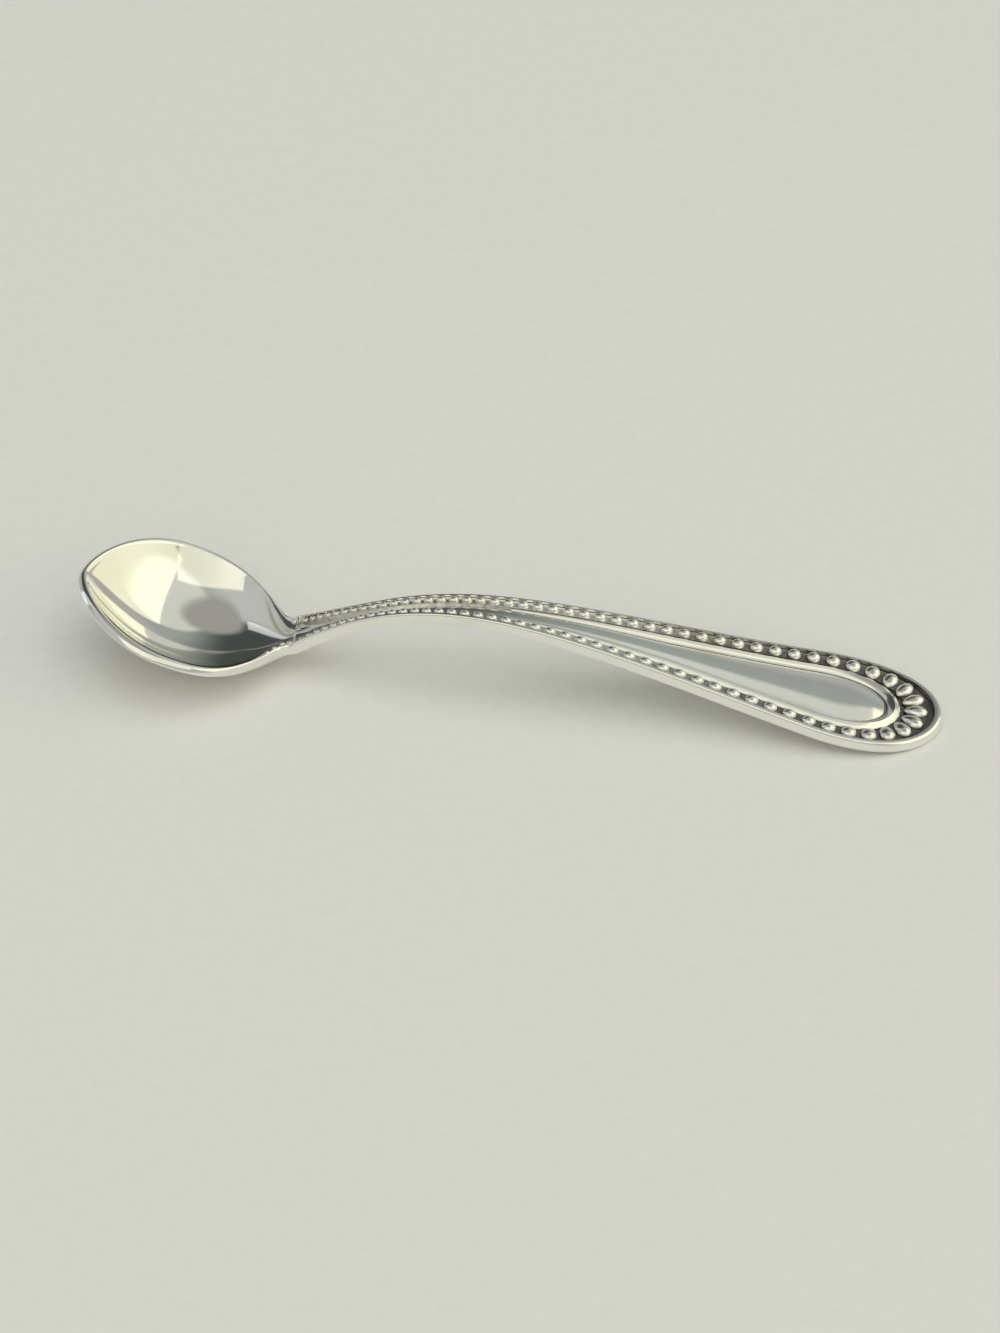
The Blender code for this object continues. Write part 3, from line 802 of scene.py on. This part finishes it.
bm = bmesh.new()
bmesh.ops.create_grid(bm, x_segments=1, y_segments=1, size=TABLE_HALF_SIZE)
mesh = bpy.data.meshes.new("table")
bm.to_mesh(mesh)
bm.free()
table = bpy.data.objects.new("table", mesh)
bpy.context.scene.collection.objects.link(table)
table_paint = bpy.data.materials.new("table_paint")
table_paint.use_nodes = True
tree = table_paint.node_tree
shader = tree.nodes["Principled BSDF"]
shader.inputs["Roughness"].default_value = 0.7
shader.inputs["Specular IOR Level"].default_value = 0.2
place = put(tree, "ShaderNodeTexCoord").outputs["Object"]
grain = put(tree, "ShaderNodeTexNoise", {"Vector": place, "Scale": 900.0, "Detail": 4.0})
shade = put(tree, "ShaderNodeValToRGB", {"Fac": grain.outputs["Fac"]})
shade.color_ramp.elements[0].color = (0.77, 0.765, 0.75, 1)
shade.color_ramp.elements[1].color = (0.83, 0.825, 0.81, 1)
tree.links.new(shade.outputs[0], shader.inputs["Base Color"])
mesh.materials.append(table_paint)


# Studio light
# A big soft box on the right and one over the camera light the spoon, with a strip on the left.
# The room is dim behind, and the silver mirrors all of it.

BOX_DISTANCE = 0.7
FILL_DISTANCE = 0.8


def direction(azimuth, elevation):
    """Azimuth 0 is behind the spoon, +Y, and 90 is on the right, +X."""
    az, el = math.radians(azimuth), math.radians(elevation)
    return Vector((math.sin(az) * math.cos(el), math.cos(az) * math.cos(el), math.sin(el)))


def soft_box(name, azimuth, elevation, distance, width, height, radiance, colour, mirrored=True):
    light = bpy.data.lights.new(name, "AREA")
    light.shape = "RECTANGLE"
    light.size, light.size_y = width, height
    light.energy = radiance * math.pi * width * height
    light.color = colour
    box = bpy.data.objects.new(name, light)
    away = direction(azimuth, elevation)
    box.location = away * distance
    box.rotation_euler = away.to_track_quat("Z", "Y").to_euler()
    box.visible_glossy = mirrored
    bpy.context.scene.collection.objects.link(box)


soft_box(
    "right_box", azimuth=92, elevation=29, distance=BOX_DISTANCE, width=1.25, height=0.62,
    radiance=0.5, colour=(1.0, 1.0, 0.62),
)
soft_box(
    "camera_box", azimuth=181, elevation=40, distance=BOX_DISTANCE, width=0.82, height=0.5,
    radiance=0.45, colour=(1.0, 0.98, 0.7),
)
soft_box(
    "left_strip", azimuth=-82, elevation=28, distance=BOX_DISTANCE, width=0.16, height=0.9,
    radiance=0.5, colour=(0.95, 0.98, 1.0),
)
soft_box(
    "table_fill", azimuth=0, elevation=89, distance=FILL_DISTANCE, width=0.8, height=0.8,
    radiance=1.15, colour=(1.0, 1.0, 0.98), mirrored=False,
)

FRONT_TONE = (0.5, 0.51, 0.5, 1)
BACK_TONE = (0.06, 0.07, 0.068, 1)
SIDE_TONE = (0.33, 0.36, 0.34, 1)
HIGH_RIGHT_TONE = (0.62, 0.63, 0.58, 1)
HORIZON_TONE = (0.42, 0.42, 0.4, 1)
CEILING_TONE = (0.33, 0.33, 0.31, 1)

world = bpy.data.worlds.new("dim_room")
bpy.context.scene.world = world
world.use_nodes = True
tree = world.node_tree
sky = put(tree, "ShaderNodeTexCoord").outputs["Generated"]
tone = FRONT_TONE
for axis, low, high, next_tone in (
    ((0, 1, 0), -0.1, 0.1, BACK_TONE),
    ((1, 0, 0), -0.2, 0.35, SIDE_TONE),
    ((0.6, 0, 0.8), 0.78, 0.84, HIGH_RIGHT_TONE),
    ((0, 0, 1), 0.5, 0.28, HORIZON_TONE),
    ((0, 0, 1), 0.88, 0.95, CEILING_TONE),
):
    toward = put(tree, "ShaderNodeVectorMath", {0: sky, 1: axis}, operation="DOT_PRODUCT")
    share = put(
        tree, "ShaderNodeMapRange", {"Value": toward.outputs["Value"], "From Min": low, "From Max": high},
        interpolation_type="SMOOTHSTEP",
    )
    tone = put(tree, "ShaderNodeMixRGB", {0: share.outputs[0], 1: tone, 2: next_tone}).outputs[0]
tree.links.new(tone, tree.nodes["Background"].inputs["Color"])


# Camera
# It stands in front of the spoon and looks down on it at the photograph's angle.
# It is turned and rolled by a few degrees, as a camera held in the hand is.

CAMERA_ELEVATION, CAMERA_TURN, CAMERA_ROLL = (math.radians(a) for a in (44, 5, 2))
CAMERA_DISTANCE = 299.6 * MM
LOOK_AT = Vector((-0.745, 0.0, 1.33)) * MM
LENS_MM, SENSOR_WIDTH_MM = 108.03, 36.0
NEAR_CLIP = 10 * MM

back = Vector((
    math.cos(CAMERA_ELEVATION) * math.sin(CAMERA_TURN),
    -math.cos(CAMERA_ELEVATION) * math.cos(CAMERA_TURN),
    math.sin(CAMERA_ELEVATION),
))
right = Vector((0, 0, 1)).cross(back).normalized()
up = back.cross(right)
rolled_right = math.cos(CAMERA_ROLL) * right + math.sin(CAMERA_ROLL) * up
rolled_up = back.cross(rolled_right)
camera = bpy.data.objects.new("camera", bpy.data.cameras.new("camera"))
camera.data.lens = LENS_MM
camera.data.sensor_width = SENSOR_WIDTH_MM
camera.data.clip_start = NEAR_CLIP
turned = Matrix((rolled_right, rolled_up, back)).transposed().to_4x4()
camera.matrix_world = Matrix.Translation(LOOK_AT + CAMERA_DISTANCE * back) @ turned
bpy.context.scene.collection.objects.link(camera)
bpy.context.scene.camera = camera
bpy.context.scene.view_settings.view_transform = "Standard"
